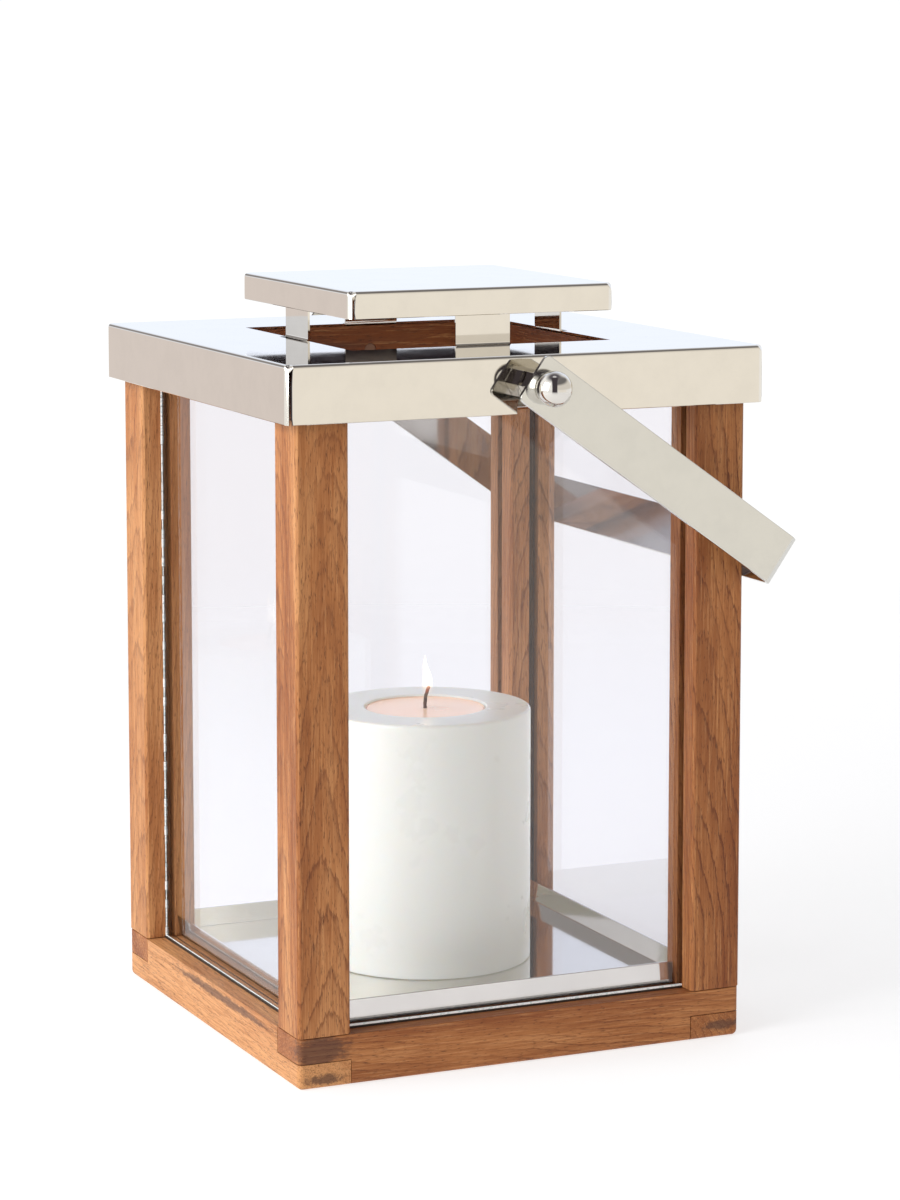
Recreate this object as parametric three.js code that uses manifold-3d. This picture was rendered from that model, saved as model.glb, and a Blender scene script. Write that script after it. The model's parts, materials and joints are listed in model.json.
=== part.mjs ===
// Candle lantern: a square teak frame on half-lapped rails, glazed on four sides, with a steel tray,
// a folded steel lid and raised chimney cap, a U-shaped strap handle and a pillar candle.
// Millimetres, +Z up. The origin is the middle of the underside of the wooden frame, -Y is the front.
import * as THREE from 'three';
import { mergeVertices } from 'three/addons/utils/BufferGeometryUtils.js';
import Module from 'manifold-3d';

const wasm = await Module();
wasm.setup();

// ---- driving dimensions ----
const BODY = 220; // outside width of the wooden frame, both ways
const POST = 25; // square section of the posts, and width of the base rails
const RAIL_HEIGHT = 23; // height of the base rails
const TOP_FRAME_BOTTOM = 297;
const TOP_FRAME_TOP = 320.25;
const HOLE = 129; // chimney opening in the lid and in the top frame, both ways
const JOINT_GAP = 0.25; // glue line or rest gap between neighbouring pieces

const CORNER_ROUND = 2.5; // rounding of the frame's four corners and its lower edge
const POST_CHAMFER = 1.2;
const GLASS = 4; // pane thickness
const GROOVE_INSET = 9.5; // from a post's outside face to its groove
const GROOVE_WIDTH = 5;
const GROOVE_DEPTH = 6;
const TOP_GROOVE_DEPTH = 5;

const TRAY = 188; // outside width of the tray
const TRAY_SHEET = 1.25;
const TRAY_HEIGHT = 10.5;
const TRAY_CLEARANCE = 0.6; // between the tray's notched corners and the posts

const SHEET = 1; // lid and cap
const FOLD = 1.5; // outside radius of a folded edge
const SEAM = 0.5; // open slit where two skirts meet
const LID = 233;
const LID_TOP = 321.5;
const LID_SKIRT = 26;
const LEG_WIDTH = 27;
const LEG_FOLD = 1.25; // inside radius at the foot of a leg
const CAP = 131.5;
const CAP_TOP = 347.75;
const CAP_SKIRT = 12.5;

const PIVOT_HEIGHT = 308.5;
const STUD_RADIUS = 3;
const BORE_CLEARANCE = 0.1;
const PLATE = { width: 30, height: 20, thickness: 5, corner: 2 };
const SPACER_FLATS = 12; // across the flats of the hexagon
const SLOT_RADIUS = 7.5; // open slots in the lid that pass over the spacers
const STRAP_OUTSIDE = 132.5; // from the middle plane to the strap's outside face
const STRAP_THICKNESS = 2;
const STRAP_WIDTH = 24;
const STRAP_REACH = 146; // from the pivot to the outside of the crossbar
const STRAP_END = 9; // from the pivot to the strap's free end
const STRAP_CORNER = 2.5;
const STRAP_FOLD = 3.5;
const STRAP_REST_GAP = 0.4; // between the crossbar and the posts it leans on
const RUNNING_GAP = 0.3; // beside the strap, towards the spacer and the knob
const KNOB_RADIUS = 8;
const KNOB_CENTRE = 5.6; // from the knob's flat face
const KNOB_BORE_DEPTH = 8;

const CANDLE_RADIUS = 50;
const CANDLE_HEIGHT = 120;
const CANDLE_EDGE = 1.5;
const RECESS_RADIUS = 28.8;
const RECESS_DEPTH = 18.5;
const CUP_RADIUS = 28.4;
const CUP_HEIGHT = 17.5;
const CUP_WALL = 0.6;
const WAX_HEIGHT = 16.25;
const WICK_RADIUS = 0.9;
const WICK_STAND = 10; // how far the wick stands out of the wax
const WICK_LEAN = 2.6; // how far its tip bends aside
const WICK_TAB = { radius: 9, thickness: 0.5, clearance: 0.25 };

// ---- levels and positions that follow from them ----
const HALF = BODY / 2;
const POST_INSIDE = HALF - POST;
const POST_BOTTOM = RAIL_HEIGHT + JOINT_GAP;
const POST_TOP = TOP_FRAME_BOTTOM - JOINT_GAP;
const GROOVE_OUTSIDE = HALF - GROOVE_INSET;
const GROOVE_INSIDE = GROOVE_OUTSIDE - GROOVE_WIDTH;
const GROOVE_END = POST_INSIDE + GROOVE_DEPTH;
const LID_BOTTOM = LID_TOP - LID_SKIRT;
const CAP_BOTTOM = CAP_TOP - CAP_SKIRT;
const PLATE_FACE = HALF + JOINT_GAP + PLATE.thickness;
const STRAP_INSIDE = STRAP_OUTSIDE - STRAP_THICKNESS;
const KNOB_FACE = STRAP_OUTSIDE + RUNNING_GAP;
const BORE_RADIUS = STUD_RADIUS + BORE_CLEARANCE;
const TRAY_FLOOR = RAIL_HEIGHT + JOINT_GAP + TRAY_SHEET;
const CANDLE_BOTTOM = TRAY_FLOOR + JOINT_GAP;
const CANDLE_TOP = CANDLE_BOTTOM + CANDLE_HEIGHT;
const CUP_BOTTOM = CANDLE_TOP - RECESS_DEPTH + JOINT_GAP;
const WAX_BOTTOM = CUP_BOTTOM + CUP_WALL + JOINT_GAP;
const WAX_TOP = WAX_BOTTOM + WAX_HEIGHT;

// ---- finishes ----
const teak = new THREE.MeshStandardMaterial({ color: 0xb57a4b, roughness: 0.6, metalness: 0 });
const nickel = new THREE.MeshStandardMaterial({ color: 0xe2dacc, roughness: 0.12, metalness: 1 });
const clear = new THREE.MeshStandardMaterial({ color: 0xe9f1f3, roughness: 0.04, metalness: 0 });
const shell = new THREE.MeshStandardMaterial({ color: 0xf4f0e6, roughness: 0.45, metalness: 0 });
const cupPlastic = new THREE.MeshStandardMaterial({ color: 0xf2e6da, roughness: 0.2, metalness: 0 });
const wax = new THREE.MeshStandardMaterial({ color: 0xf1c7a1, roughness: 0.4, metalness: 0 });
const tin = new THREE.MeshStandardMaterial({ color: 0xb9bcc0, roughness: 0.35, metalness: 1 });
const charred = new THREE.MeshStandardMaterial({ color: 0x3a241a, roughness: 0.95, metalness: 0 });

// ---- solids ----
const AXIS_X = new THREE.Vector3(1, 0, 0);
const AXIS_Y = new THREE.Vector3(0, 1, 0);
const AXIS_Z = new THREE.Vector3(0, 0, 1);
const QUARTER = Math.PI / 2;
const SIDES = ['front', 'right', 'back', 'left']; // each a quarter turn on from the one before
const ARC_STEPS = 4; // straight lengths along a rounded corner
const EDGE_STEPS = 3; // the same along a small edge rounding
const ROUND_STEPS = 24; // sides of a bore or a pin
const TURNED_STEPS = 48; // sides of the candle and of the tealight
const CORNER_EXTRA = 0.25; // how much rounder than its ends a pillow's upright edges are
const OVERLAP = 1; // how far a cutting block runs past the face that it opens

function toSolid(geometry) {
  const bare = geometry.clone();
  bare.deleteAttribute('normal');
  bare.deleteAttribute('uv');
  const welded = mergeVertices(bare);
  const corners = welded.index.array;
  const kept = [];
  for (let i = 0; i < corners.length; i += 3) {
    const triangle = [...corners.slice(i, i + 3)];
    if (new Set(triangle).size === 3) {
      kept.push(...triangle);
    }
  }
  const vertProperties = welded.attributes.position.array;
  return new wasm.Manifold(new wasm.Mesh({ numProp: 3, vertProperties, triVerts: new Uint32Array(kept) }));
}

function toGeometry(solid) {
  const { vertProperties, triVerts } = solid.getMesh();
  const geometry = new THREE.BufferGeometry();
  geometry.setAttribute('position', new THREE.BufferAttribute(vertProperties, 3));
  geometry.setIndex(new THREE.BufferAttribute(triVerts, 1));
  const faceted = geometry.toNonIndexed();
  faceted.computeVertexNormals();
  return faceted;
}

function boxBetween(low, high) {
  const size = high.map((value, axis) => value - low[axis]);
  const box = new THREE.BoxGeometry(...size);
  box.translate(...low.map((value, axis) => value + size[axis] / 2));
  return box;
}

const blockBetween = (low, high) => toSolid(boxBetween(low, high));

// A square block from z = low to z = high, centred on the axis.
function squareBlock(side, low, high) {
  return blockBetween([-side / 2, -side / 2, low], [side / 2, side / 2, high]);
}

function rectangle(width, height, radius) {
  const [x, y] = [width / 2, height / 2];
  const shape = new THREE.Shape();
  shape.moveTo(-x + radius, -y);
  shape.lineTo(x - radius, -y);
  shape.absarc(x - radius, -y + radius, radius, -QUARTER, 0);
  shape.absarc(x - radius, y - radius, radius, 0, QUARTER);
  shape.absarc(-x + radius, y - radius, radius, QUARTER, 2 * QUARTER);
  shape.absarc(-x + radius, -y + radius, radius, 2 * QUARTER, 3 * QUARTER);
  return shape;
}

const polygon = (points) => new THREE.Shape(points.map(([x, y]) => new THREE.Vector2(x, y)));

function addHole(shape, radius) {
  shape.holes.push(new THREE.Path().absarc(0, 0, radius, 0, 2 * Math.PI, true));
  return shape;
}

function extrude(shape, depth, curveSegments = ARC_STEPS) {
  return new THREE.ExtrudeGeometry(shape, { depth, bevelEnabled: false, curveSegments });
}

// Lays an extrusion out so that the shape's x runs along X and its y along Z, growing towards -Y from start.
function acrossY(geometry, start) {
  geometry.applyMatrix4(new THREE.Matrix4().makeBasis(AXIS_X, AXIS_Z, AXIS_Y.clone().negate()));
  return geometry.translate(0, start, 0);
}

// A square block with rounded upright edges and a rounded edge at both ends. The upright edges are a little
// rounder, so that the rounded ends don't run out to a point.
function pillow(side, low, high, radius) {
  const bevel = { bevelEnabled: true, bevelSize: radius, bevelThickness: radius, bevelOffset: -radius };
  const steps = { bevelSegments: EDGE_STEPS, curveSegments: EDGE_STEPS };
  const section = rectangle(side, side, radius + CORNER_EXTRA);
  const block = new THREE.ExtrudeGeometry(section, { depth: high - low - 2 * radius, ...bevel, ...steps });
  return toSolid(block.translate(0, 0, low + radius));
}

const cylinderAcrossY = (radius, z, from, to) =>
  new THREE.CylinderGeometry(radius, radius, to - from, ROUND_STEPS).translate(0, (from + to) / 2, z);

const lantern = new THREE.Group();

function place(name, geometry, material, turns = 0, parent = lantern) {
  const mesh = new THREE.Mesh(geometry, material);
  mesh.name = name;
  mesh.rotation.z = turns * QUARTER;
  parent.add(mesh);
  return mesh;
}

// ---- wooden frame ----
// The front and back rails keep the upper half at the corners, the left and right rails the lower half.
function lapRail(width, low, high, keepsUpper) {
  const middle = (low + high) / 2;
  const inside = HALF - width;
  const cutLow = keepsUpper ? low - OVERLAP : middle - JOINT_GAP / 2;
  const cutHigh = keepsUpper ? middle + JOINT_GAP / 2 : high + OVERLAP;
  const cutStart = [inside - JOINT_GAP, -HALF - OVERLAP, cutLow];
  const cutEnd = [HALF + OVERLAP, -inside + OVERLAP, cutHigh];
  const cut = blockBetween(cutStart, cutEnd);
  const rail = blockBetween([-HALF, -HALF, low], [HALF, -inside, high]);
  return rail.subtract(cut).subtract(cut.mirror([1, 0, 0]));
}

function baseRails() {
  const rounded = pillow(BODY, 0, 2 * RAIL_HEIGHT, CORNER_ROUND);
  SIDES.forEach((side, turns) => {
    const rail = lapRail(POST, 0, RAIL_HEIGHT, turns % 2 === 0).intersect(rounded);
    place(`base_rail_${side}`, toGeometry(rail), teak, turns);
  });
}

// Section of the front left post: outside corner at the lower left, grooves in its two inward sides.
function postSection() {
  const [low, high] = [-HALF, -POST_INSIDE];
  const [lowCut, highCut] = [low + POST_CHAMFER, high - POST_CHAMFER];
  const [outer, inner, end] = [-GROOVE_OUTSIDE, -GROOVE_INSIDE, -GROOVE_END];
  return polygon([
    [lowCut, low], [highCut, low], [high, lowCut],
    [high, outer], [end, outer], [end, inner], [high, inner],
    [high, highCut], [highCut, high],
    [inner, high], [inner, end], [outer, end], [outer, high],
    [lowCut, high], [low, highCut], [low, lowCut],
  ]);
}

function posts() {
  const names = ['post_front_left', 'post_front_right', 'post_back_right', 'post_back_left'];
  names.forEach((name, turns) => {
    const post = extrude(postSection(), POST_TOP - POST_BOTTOM).translate(0, 0, POST_BOTTOM);
    place(name, post, teak, turns);
  });
}

function topRails() {
  const width = HALF - HOLE / 2;
  const groove = blockBetween(
    [-GROOVE_END, -GROOVE_OUTSIDE, TOP_FRAME_BOTTOM - OVERLAP],
    [GROOVE_END, -GROOVE_INSIDE, TOP_FRAME_BOTTOM + TOP_GROOVE_DEPTH],
  );
  const bore = toSolid(cylinderAcrossY(BORE_RADIUS, PIVOT_HEIGHT, -HALF - OVERLAP, 0));
  SIDES.forEach((side, turns) => {
    const carriesPivot = turns % 2 === 0;
    let rail = lapRail(width, TOP_FRAME_BOTTOM, TOP_FRAME_TOP, carriesPivot);
    for (let quarter = 0; quarter < SIDES.length; quarter += 1) {
      rail = rail.subtract(groove.rotate([0, 0, 90 * quarter]));
    }
    if (carriesPivot) {
      rail = rail.subtract(bore);
    }
    place(`top_rail_${side}`, toGeometry(rail), teak, turns);
  });
}

function panes() {
  const reach = GROOVE_END - 2 * JOINT_GAP;
  const middle = (GROOVE_OUTSIDE + GROOVE_INSIDE) / 2;
  const top = TOP_FRAME_BOTTOM + TOP_GROOVE_DEPTH - 2 * JOINT_GAP;
  SIDES.forEach((side, turns) => {
    const low = [-reach, -middle - GLASS / 2, POST_BOTTOM];
    place(`glass_${side}`, boxBetween(low, [reach, -middle + GLASS / 2, top]), clear, turns);
  });
}

// ---- tray: a floor notched around the posts, with an upturned rim on each side ----
function tray() {
  const bottom = TRAY_FLOOR - TRAY_SHEET;
  const side = TRAY / 2;
  const rimEnd = POST_INSIDE - TRAY_CLEARANCE;
  let solid = blockBetween([-rimEnd, -side, bottom], [rimEnd, side, TRAY_FLOOR]);
  solid = solid.add(solid.rotate([0, 0, 90]));
  const rim = blockBetween([-rimEnd, -side, bottom], [rimEnd, -side + TRAY_SHEET, bottom + TRAY_HEIGHT]);
  for (let quarter = 0; quarter < SIDES.length; quarter += 1) {
    solid = solid.add(rim.rotate([0, 0, 90 * quarter]));
  }
  place('tray', toGeometry(solid), nickel);
}

// ---- folded sheet covers ----
// An upside-down square box of sheet metal whose four skirts meet in open corner seams. The rounded blocks it
// is made from run on below its lower edge, where they are trimmed off.
function foldedCover(side, bottom, top) {
  const margin = 4 * FOLD;
  const outside = pillow(side, bottom - margin, top, FOLD);
  const inside = pillow(side - 2 * SHEET, bottom - 2 * margin, top - SHEET, FOLD - SHEET);
  const trim = squareBlock(2 * side, bottom - 2 * margin, bottom);
  const seamTop = top - FOLD;
  const seam = blockBetween([-SEAM / 2, -margin, bottom - OVERLAP], [SEAM / 2, margin, seamTop]);
  let cover = outside.subtract(inside).subtract(trim);
  for (let corner = 0; corner < SIDES.length; corner += 1) {
    cover = cover.subtract(seam.translate([0, side / Math.SQRT2, 0]).rotate([0, 0, 45 + 90 * corner]));
  }
  return cover;
}

// Side view of the front leg, from the lid's sheet through the fold to its upper end. Its x runs outwards.
function legSection(legTop) {
  const outside = HOLE / 2;
  const foldX = outside + LEG_FOLD;
  const foldZ = LID_TOP + LEG_FOLD;
  const shape = new THREE.Shape();
  shape.moveTo(foldX + OVERLAP, LID_TOP - SHEET);
  shape.lineTo(foldX + OVERLAP, LID_TOP);
  shape.lineTo(foldX, LID_TOP);
  shape.absarc(foldX, foldZ, LEG_FOLD, -QUARTER, -2 * QUARTER, true);
  shape.lineTo(outside, legTop);
  shape.lineTo(outside - SHEET, legTop);
  shape.lineTo(outside - SHEET, foldZ);
  shape.absarc(foldX, foldZ, LEG_FOLD + SHEET, 2 * QUARTER, 3 * QUARTER);
  return shape;
}

function lid() {
  const above = LID_TOP + OVERLAP;
  const legTop = CAP_TOP - SHEET - JOINT_GAP;
  const reach = HOLE / 2 + LEG_FOLD;
  const hole = squareBlock(HOLE, LID_BOTTOM, above);
  const notch = blockBetween([-reach, -LEG_WIDTH / 2, LID_BOTTOM], [reach, LEG_WIDTH / 2, above]);
  let cover = foldedCover(LID, LID_BOTTOM, LID_TOP).subtract(hole);
  cover = cover.subtract(notch).subtract(notch.rotate([0, 0, 90]));
  const leg = toSolid(acrossY(extrude(legSection(legTop), LEG_WIDTH), LEG_WIDTH / 2));
  for (let quarter = 0; quarter < SIDES.length; quarter += 1) {
    cover = cover.add(leg.rotate([0, 0, 90 * quarter]));
  }
  const slotEnd = toSolid(cylinderAcrossY(SLOT_RADIUS, PIVOT_HEIGHT, -LID, LID));
  const slotOpen = blockBetween([-SLOT_RADIUS, -LID, LID_BOTTOM - OVERLAP], [SLOT_RADIUS, LID, PIVOT_HEIGHT]);
  cover = cover.subtract(slotEnd).subtract(slotOpen);
  place('lid_cover', toGeometry(cover), nickel);
  place('chimney_cap', toGeometry(foldedCover(CAP, CAP_BOTTOM, CAP_TOP)), nickel);
}

// ---- handle pivots, at the middle of the front and of the back ----
function knobProfile() {
  const flat = Math.sqrt(KNOB_RADIUS ** 2 - KNOB_CENTRE ** 2);
  const start = -Math.asin(KNOB_CENTRE / KNOB_RADIUS);
  const steps = ROUND_STEPS / 2;
  const points = [[0, KNOB_BORE_DEPTH], [BORE_RADIUS, KNOB_BORE_DEPTH], [BORE_RADIUS, 0], [flat, 0]];
  for (let i = 1; i < steps; i += 1) {
    const angle = start + ((QUARTER - start) * i) / steps;
    points.push([KNOB_RADIUS * Math.cos(angle), KNOB_CENTRE + KNOB_RADIUS * Math.sin(angle)]);
  }
  points.push([0, KNOB_CENTRE + KNOB_RADIUS]);
  return points.map(([radius, height]) => new THREE.Vector2(radius, height));
}

function hexagon(flats) {
  const radius = flats / Math.sqrt(3);
  const corners = [0, 1, 2, 3, 4, 5].map((corner) => (corner * Math.PI) / 3);
  return polygon(corners.map((angle) => [radius * Math.cos(angle), radius * Math.sin(angle)]));
}

function pivots() {
  const plateShape = addHole(rectangle(PLATE.width, PLATE.height, PLATE.corner), BORE_RADIUS);
  const spacerShape = addHole(hexagon(SPACER_FLATS), BORE_RADIUS);
  const spacerStart = -PLATE_FACE - JOINT_GAP;
  const spacerLength = STRAP_INSIDE - RUNNING_GAP + spacerStart;
  const studEnd = -KNOB_FACE - KNOB_BORE_DEPTH + JOINT_GAP;
  const knob = new THREE.LatheGeometry(knobProfile(), ROUND_STEPS);
  const pieces = {
    pivot_plate: acrossY(extrude(plateShape, PLATE.thickness, ROUND_STEPS / 2), -HALF - JOINT_GAP),
    pivot_spacer: acrossY(extrude(spacerShape, spacerLength, ROUND_STEPS / 2), spacerStart),
    pivot_stud: cylinderAcrossY(STUD_RADIUS, 0, studEnd, -HOLE / 2 - JOINT_GAP),
    ball_knob: knob.rotateX(Math.PI).translate(0, -KNOB_FACE, 0),
  };
  for (const [name, geometry] of Object.entries(pieces)) {
    for (const turns of [0, 2]) {
      place(`${name}_${SIDES[turns]}`, geometry, nickel, turns).position.z = PIVOT_HEIGHT;
    }
  }
}

// ---- strap handle, drawn with its arms along +X and then turned down to lean on the posts ----
function strapOutline() {
  const [outside, inside] = [STRAP_OUTSIDE, STRAP_INSIDE];
  const innerReach = STRAP_REACH - STRAP_THICKNESS;
  const innerFold = STRAP_FOLD - STRAP_THICKNESS;
  const bend = STRAP_REACH - STRAP_FOLD;
  const shape = new THREE.Shape();
  shape.moveTo(-STRAP_END, -outside);
  shape.lineTo(bend, -outside);
  shape.absarc(bend, -outside + STRAP_FOLD, STRAP_FOLD, -QUARTER, 0);
  shape.absarc(bend, outside - STRAP_FOLD, STRAP_FOLD, 0, QUARTER);
  shape.lineTo(-STRAP_END, outside);
  shape.lineTo(-STRAP_END, inside);
  shape.lineTo(bend, inside);
  shape.absarc(innerReach - innerFold, inside - innerFold, innerFold, QUARTER, 0, true);
  shape.absarc(innerReach - innerFold, -inside + innerFold, innerFold, 0, -QUARTER, true);
  shape.lineTo(-STRAP_END, -inside);
  return shape;
}

function restAngle() {
  const reach = STRAP_REACH - STRAP_THICKNESS;
  const diagonal = Math.hypot(reach, STRAP_WIDTH / 2);
  return Math.acos((HALF + STRAP_REST_GAP) / diagonal) - Math.atan(STRAP_WIDTH / 2 / reach);
}

function handle() {
  const band = toSolid(extrude(strapOutline(), STRAP_WIDTH).translate(0, 0, -STRAP_WIDTH / 2));
  const length = 2 * STRAP_REACH;
  const sideView = acrossY(extrude(rectangle(length, STRAP_WIDTH, STRAP_CORNER), 2 * LID), LID);
  const roundedEnds = toSolid(sideView.translate(length / 2 - STRAP_END, 0, 0));
  const bore = toSolid(cylinderAcrossY(BORE_RADIUS, 0, -LID, LID));
  const turned = new THREE.Group();
  turned.position.z = PIVOT_HEIGHT;
  turned.rotation.y = restAngle();
  lantern.add(turned);
  place('handle', toGeometry(band.intersect(roundedEnds).subtract(bore)), nickel, 0, turned);
}

// ---- candle: a hollow-topped shell that holds a large tealight ----
// Each profile is a list of radius and height, and closes on itself or starts and ends on the axis.
const turnedPiece = (points) =>
  new THREE.LatheGeometry(points.map(([r, z]) => new THREE.Vector2(r, z)), TURNED_STEPS).rotateX(QUARTER);

function candleShell() {
  const floor = CANDLE_TOP - RECESS_DEPTH;
  const shoulder = CANDLE_RADIUS - CANDLE_EDGE;
  const points = [[0, CANDLE_BOTTOM], [shoulder, CANDLE_BOTTOM], [CANDLE_RADIUS, CANDLE_BOTTOM + CANDLE_EDGE]];
  for (let i = 0; i <= EDGE_STEPS; i += 1) {
    const angle = (QUARTER * i) / EDGE_STEPS;
    points.push([shoulder + CANDLE_EDGE * Math.cos(angle), CANDLE_TOP - CANDLE_EDGE * (1 - Math.sin(angle))]);
  }
  points.push([RECESS_RADIUS, CANDLE_TOP], [RECESS_RADIUS, floor], [0, floor]);
  place('candle_shell', turnedPiece(points), shell);
}

function tealightCup() {
  const top = CUP_BOTTOM + CUP_HEIGHT;
  const inside = CUP_RADIUS - CUP_WALL;
  const floor = CUP_BOTTOM + CUP_WALL;
  const points = [
    [0, CUP_BOTTOM], [CUP_RADIUS, CUP_BOTTOM], [CUP_RADIUS, top],
    [inside, top], [inside, floor], [0, floor],
  ];
  place('tealight_cup', turnedPiece(points), cupPlastic);
}

// The wax is bored for the wick and hollowed underneath for the wick's tab.
function tealightWax() {
  const outside = CUP_RADIUS - CUP_WALL - JOINT_GAP;
  const bore = WICK_RADIUS + JOINT_GAP;
  const tabRoom = WICK_TAB.radius + WICK_TAB.clearance;
  const ceiling = WAX_BOTTOM + WICK_TAB.thickness + WICK_TAB.clearance;
  const points = [
    [tabRoom, WAX_BOTTOM], [outside, WAX_BOTTOM], [outside, WAX_TOP],
    [bore, WAX_TOP], [bore, ceiling], [tabRoom, ceiling], [tabRoom, WAX_BOTTOM],
  ];
  place('tealight_wax', turnedPiece(points), wax);
}

function wick() {
  const { radius, thickness, clearance } = WICK_TAB;
  const tab = new THREE.CylinderGeometry(radius, radius, thickness, ROUND_STEPS).rotateX(QUARTER);
  place('wick_tab', tab.translate(0, 0, WAX_BOTTOM + thickness / 2), tin);

  const bendSteps = 8;
  const route = [new THREE.Vector3(0, 0, WAX_BOTTOM + thickness + clearance)];
  for (let i = 0; i <= bendSteps; i += 1) {
    const rise = i / bendSteps;
    route.push(new THREE.Vector3(WICK_LEAN * rise ** 3, 0, WAX_TOP + WICK_STAND * rise));
  }
  const section = new THREE.Shape().absarc(0, 0, WICK_RADIUS, 0, 2 * Math.PI);
  const extrudePath = new THREE.CatmullRomCurve3(route);
  const settings = { steps: 2 * bendSteps, curveSegments: bendSteps, extrudePath };
  place('wick', new THREE.ExtrudeGeometry(section, settings), charred);
}

baseRails();
posts();
topRails();
panes();
tray();
lid();
pivots();
handle();
candleShell();
tealightCup();
tealightWax();
wick();

export default lantern;
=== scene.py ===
"""Looks of a teak and glass candle lantern, built around its CAD frame. Metres, +Z up, -Y is the front."""
import json
import math
import random

import bmesh
import bpy
from mathutils import Matrix, Vector


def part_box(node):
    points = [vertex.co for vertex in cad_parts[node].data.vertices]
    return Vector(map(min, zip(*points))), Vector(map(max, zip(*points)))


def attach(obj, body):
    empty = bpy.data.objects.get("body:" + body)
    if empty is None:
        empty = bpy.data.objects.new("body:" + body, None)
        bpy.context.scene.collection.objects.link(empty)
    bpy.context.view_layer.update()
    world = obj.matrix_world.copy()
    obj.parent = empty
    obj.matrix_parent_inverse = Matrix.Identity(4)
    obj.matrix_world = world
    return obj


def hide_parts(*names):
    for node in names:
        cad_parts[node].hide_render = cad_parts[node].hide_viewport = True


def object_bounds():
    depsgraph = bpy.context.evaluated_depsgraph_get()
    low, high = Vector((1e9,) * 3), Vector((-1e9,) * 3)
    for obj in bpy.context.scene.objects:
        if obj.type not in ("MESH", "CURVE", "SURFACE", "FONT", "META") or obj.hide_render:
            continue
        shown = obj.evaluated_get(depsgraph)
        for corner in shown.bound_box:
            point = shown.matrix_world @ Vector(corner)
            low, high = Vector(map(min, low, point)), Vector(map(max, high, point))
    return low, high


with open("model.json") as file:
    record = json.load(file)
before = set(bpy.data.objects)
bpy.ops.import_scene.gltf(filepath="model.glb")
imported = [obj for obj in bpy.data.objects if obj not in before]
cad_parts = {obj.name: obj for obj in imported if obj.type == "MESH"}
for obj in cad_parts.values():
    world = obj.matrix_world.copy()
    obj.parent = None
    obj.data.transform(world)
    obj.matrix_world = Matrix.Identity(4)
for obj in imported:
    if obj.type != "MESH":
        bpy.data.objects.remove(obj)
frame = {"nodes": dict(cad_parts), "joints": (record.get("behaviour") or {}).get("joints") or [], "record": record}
cad_low, cad_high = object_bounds()
bodies = frame["record"]["behaviour"]["bodies"]
node_body = {node: body for body, nodes in bodies.items() for node in nodes}

MM = 0.001
SHEET = 1.0 * MM  # thickness of the lid and the cap
FOLD = 1.6 * MM  # outside radius of a folded edge
TIP_FOLD = 3.4 * MM  # the same at the tip of a cover's corner
SEAM = 0.9 * MM  # open slit where two skirts meet
SEAM_TOP = 2.0 * MM  # the slit opens towards the fold
SEAM_FOOT = 1.5 * MM  # and towards the skirts' bottom edges
SEAM_START = math.radians(50)  # how far the skirt on the slit's left wraps round the corner
CORNER_RADIUS = 3.6 * MM  # rounding of a cover's upright corners
LEG_BEND = 1.25 * MM  # inside radius of the bend at the foot of the lid's legs
REST_GAP = 0.25 * MM  # between two sub-parts that rest on or in each other
STRAP_THICKNESS = 2.0 * MM
ROUND_STEPS = 96  # sides of a round sub-part
SHARP_ANGLE = 35  # edges over this many degrees stay sharp
STRAP_SHARP_ANGLE = 50  # the same for the handle
EASED_ANGLE = 40  # edges over this many degrees are rounded
LEVEL_TOLERANCE = math.radians(0.5)  # faces that differ by less count as one plane
WELD = 1e-7  # points that are closer count as one
CAD_WELD = 1e-6  # the same in the mesh of a CAD node
SIDES = ("front", "right", "back", "left")
SIDE_TURNS = (0, 1, 2, 3)  # quarter turns that bring a front piece to each side
QUARTER = math.pi / 2


# ---- meshes ----

def lathe(profile, segments):
    """A closed mesh turned round Z from (radius, height) points that start and end on the axis or meet."""
    bm = bmesh.new()
    rows = []
    for radius, height in profile:
        if radius == 0:
            rows.append([bm.verts.new((0, 0, height))] * segments)
            continue
        row = []
        for i in range(segments):
            angle = 2 * math.pi * i / segments
            row.append(bm.verts.new((radius * math.cos(angle), radius * math.sin(angle), height)))
        rows.append(row)
    bridge_rows(bm, rows)
    bmesh.ops.remove_doubles(bm, verts=bm.verts, dist=WELD)
    bmesh.ops.recalc_face_normals(bm, faces=bm.faces)
    return bm


def bridge_rows(bm, rows):
    """Faces between each closed row of vertices and the next. A row of one repeated vertex is a pole."""
    for lower, upper in zip(rows, rows[1:]):
        for i in range(len(lower)):
            j = (i + 1) % len(lower)
            corners = []
            for corner in (lower[i], lower[j], upper[j], upper[i]):
                if corner not in corners:
                    corners.append(corner)
            if len(corners) > 2:
                bm.faces.new(corners)


def sweep(stations):
    """A closed mesh through a row of closed loops of points, capped at both ends."""
    bm = bmesh.new()
    rows = [[bm.verts.new(point) for point in station] for station in stations]
    bridge_rows(bm, rows)
    bm.faces.new(rows[0])
    bm.faces.new(rows[-1])
    bmesh.ops.recalc_face_normals(bm, faces=bm.faces)
    return bm


def prism(outline, depth):
    """An outline of (x, z) points, extended along Y to both sides of y = 0."""
    near = [(x, -depth / 2, z) for x, z in outline]
    far = [(x, depth / 2, z) for x, z in outline]
    return sweep([near, far])


def block(low, high):
    outline = [(low[0], low[2]), (high[0], low[2]), (high[0], high[2]), (low[0], high[2])]
    bm = prism(outline, high[1] - low[1])
    bm.transform(Matrix.Translation((0, (low[1] + high[1]) / 2, 0)))
    return bm


def arc(centre, radius, start, end, steps):
    points = []
    for i in range(steps + 1):
        angle = start + (end - start) * i / steps
        points.append((centre[0] + radius * math.cos(angle), centre[1] + radius * math.sin(angle)))
    return points


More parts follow.
